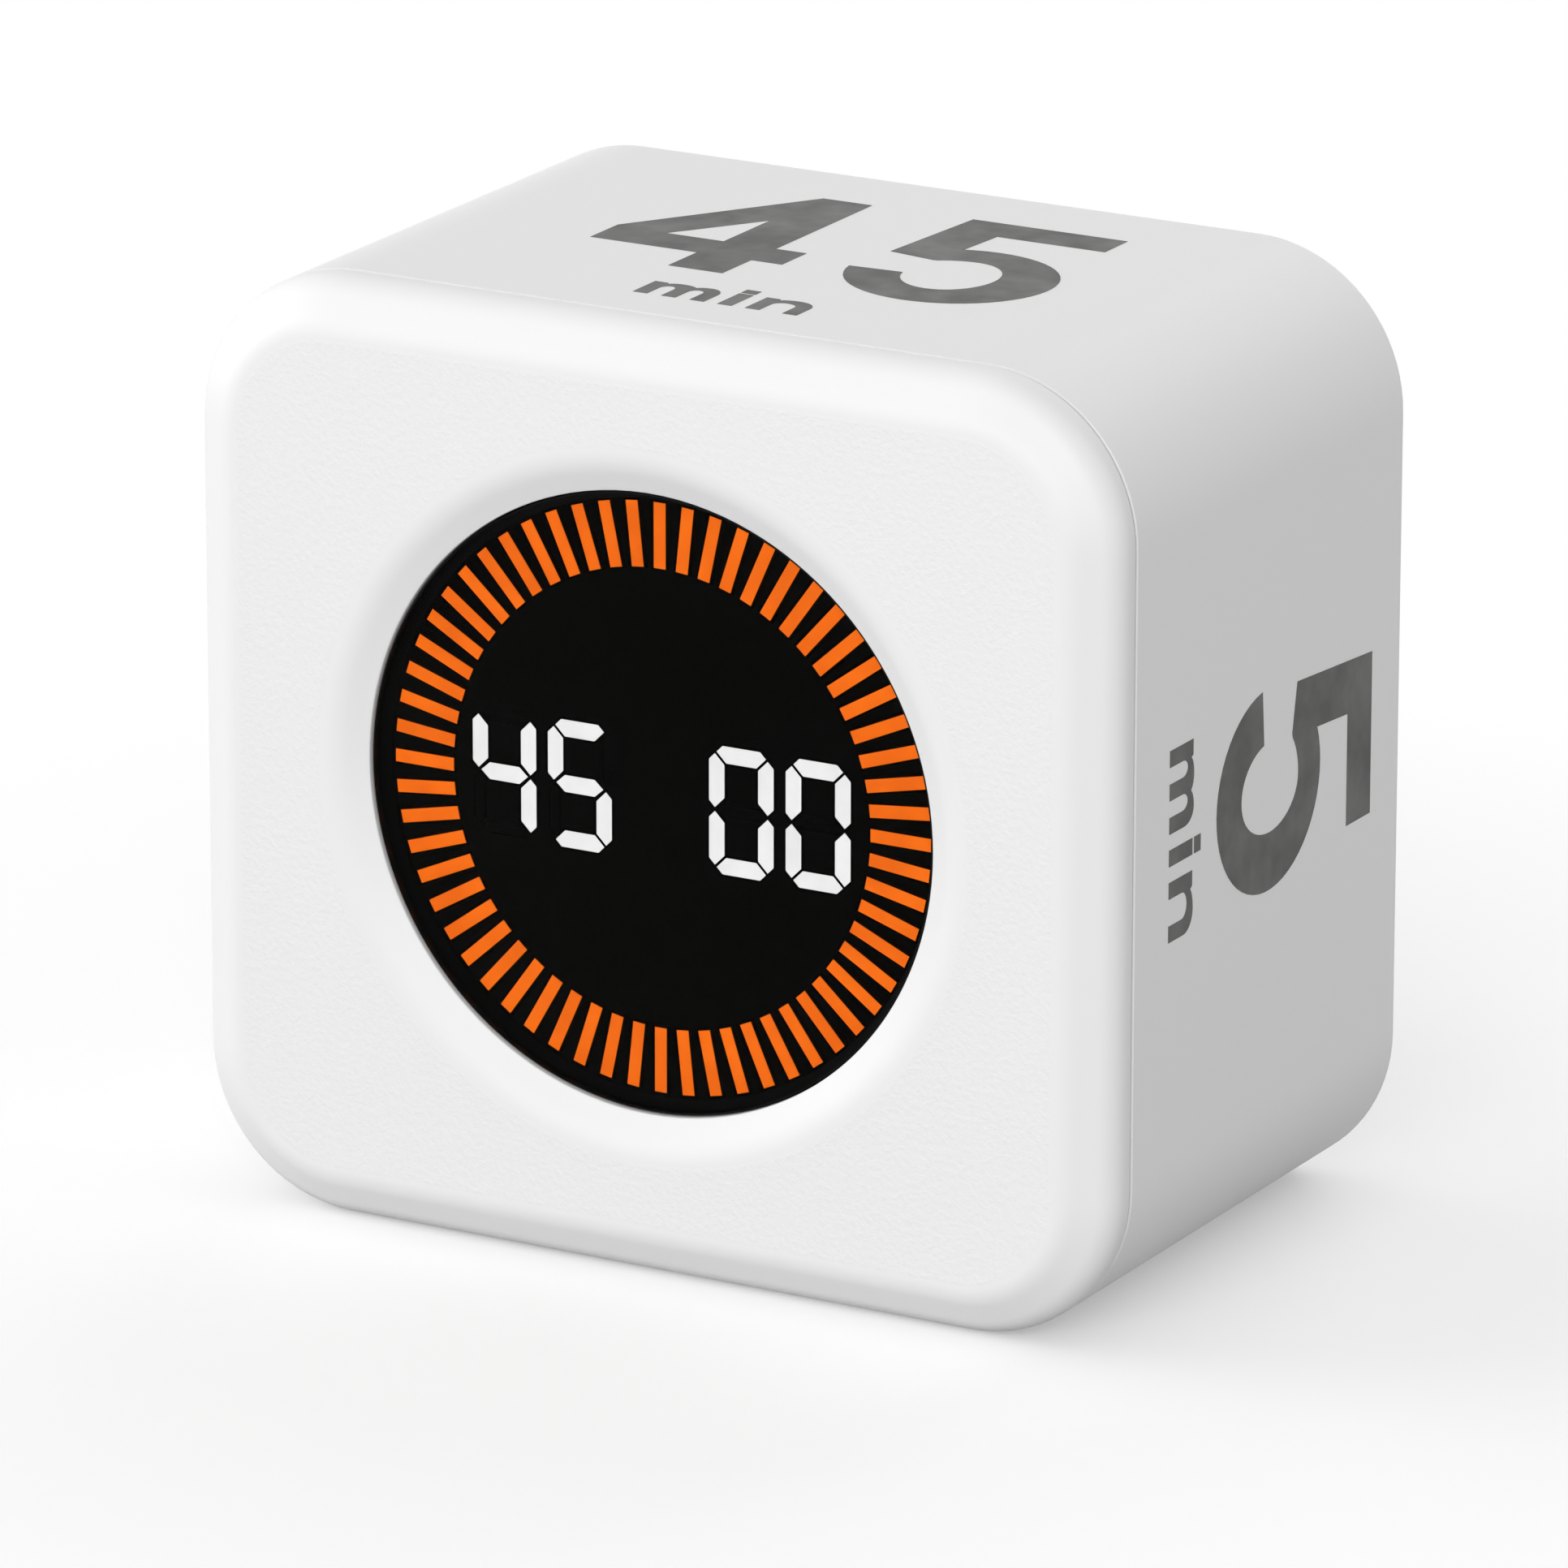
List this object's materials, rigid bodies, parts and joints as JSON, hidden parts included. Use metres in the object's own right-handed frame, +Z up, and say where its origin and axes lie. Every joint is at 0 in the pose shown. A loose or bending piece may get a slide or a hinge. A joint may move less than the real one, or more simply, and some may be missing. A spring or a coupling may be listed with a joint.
{
  "type": "pomodoro timer",
  "caption": "Cube-like turn-to-start focus timer with pillow-edged front, round lit bar-ring display with digits, rear buttons, slide switch and USB-C inlet.",
  "frame": {"origin": "middle of the bounding box's lower side, on the surface that the timer stands on", "axes": "+Z up; the display faces -Y; +X is to the right of someone looking at the display"},
  "size_m": [0.0596, 0.036, 0.056],
  "materials": {
    "white_shell": "fine sandy matte white moulding",
    "smoked_lens": "smoked clear acrylic, black when unlit",
    "black_frame": "matte black moulding",
    "orange_guide": "translucent light guide lit orange",
    "white_guide": "translucent light guide lit white",
    "board_green": "solder-masked glass-fibre board",
    "chip_black": "moulded black",
    "connector_white": "cream nylon connector",
    "steel": "nickel-plated steel",
    "pouch_silver": "foil pouch",
    "tape_black": "double-sided adhesive foam tape",
    "control_white": "smooth satin white moulding",
    "speaker_grey": "dark coated steel basket",
    "foam_grey": "soft foam",
    "red_wire": "silicone-insulated wire, red",
    "black_wire": "silicone-insulated wire, black",
    "ribbon_amber": "polyimide ribbon"
  },
  "bodies": {
    "case": {"front_bezel": "white_shell", "main_housing": "white_shell", "rear_cover": "white_shell", "display_lens": "smoked_lens", "lens_tape": "tape_black", "display_frame": "black_frame", "ring_light_guide": "orange_guide", "digit_guide_1": "white_guide", "digit_guide_2": "white_guide", "digit_guide_3": "white_guide", "digit_guide_4": "white_guide", "display_board": "board_green", "display_screw_1": "steel", "display_screw_2": "steel", "display_screw_3": "steel", "display_screw_4": "steel", "main_board": "board_green", "processor_chip": "chip_black", "charger_chip": "chip_black", "tilt_sensor": "chip_black", "crystal": "steel", "usb_shell": "steel", "usb_tongue": "chip_black", "tact_case_left": "chip_black", "tact_case_right": "chip_black", "slide_case": "steel", "battery_socket": "connector_white", "ribbon_socket_front": "connector_white", "ribbon_socket_rear": "connector_white", "ribbon_cable": "ribbon_amber", "board_screw_1": "steel", "board_screw_2": "steel", "board_screw_3": "steel", "board_screw_4": "steel", "battery": "pouch_silver", "battery_cradle": "black_frame", "battery_pad": "foam_grey", "battery_plug": "connector_white", "battery_lead_red": "red_wire", "battery_lead_black": "black_wire", "speaker_body": "speaker_grey", "speaker_cone": "chip_black", "speaker_gasket": "foam_grey", "speaker_lead_red": "red_wire", "speaker_lead_black": "black_wire", "case_screw_1": "steel", "case_screw_2": "steel", "case_screw_3": "steel", "case_screw_4": "steel"},
    "button_left": {"button_left": "control_white", "tact_plunger_left": "chip_black"},
    "button_right": {"button_right": "control_white", "tact_plunger_right": "chip_black"},
    "slider": {"slider_knob": "control_white", "slide_lever": "chip_black"}
  },
  "joints": [
    {"name": "button_left_press", "type": "slide", "parent": "case", "child": "button_left", "axis": [0, -1, 0], "range_m": [0, 0.0004], "stiffness_N_per_m": 1500, "springref_m": -0.0003},
    {"name": "button_right_press", "type": "slide", "parent": "case", "child": "button_right", "axis": [0, -1, 0], "range_m": [0, 0.0004], "stiffness_N_per_m": 1500, "springref_m": -0.0003},
    {"name": "slider_slide", "type": "slide", "parent": "case", "child": "slider", "axis": [1, 0, 0], "range_m": [-0.002, 0.002]}
  ]
}
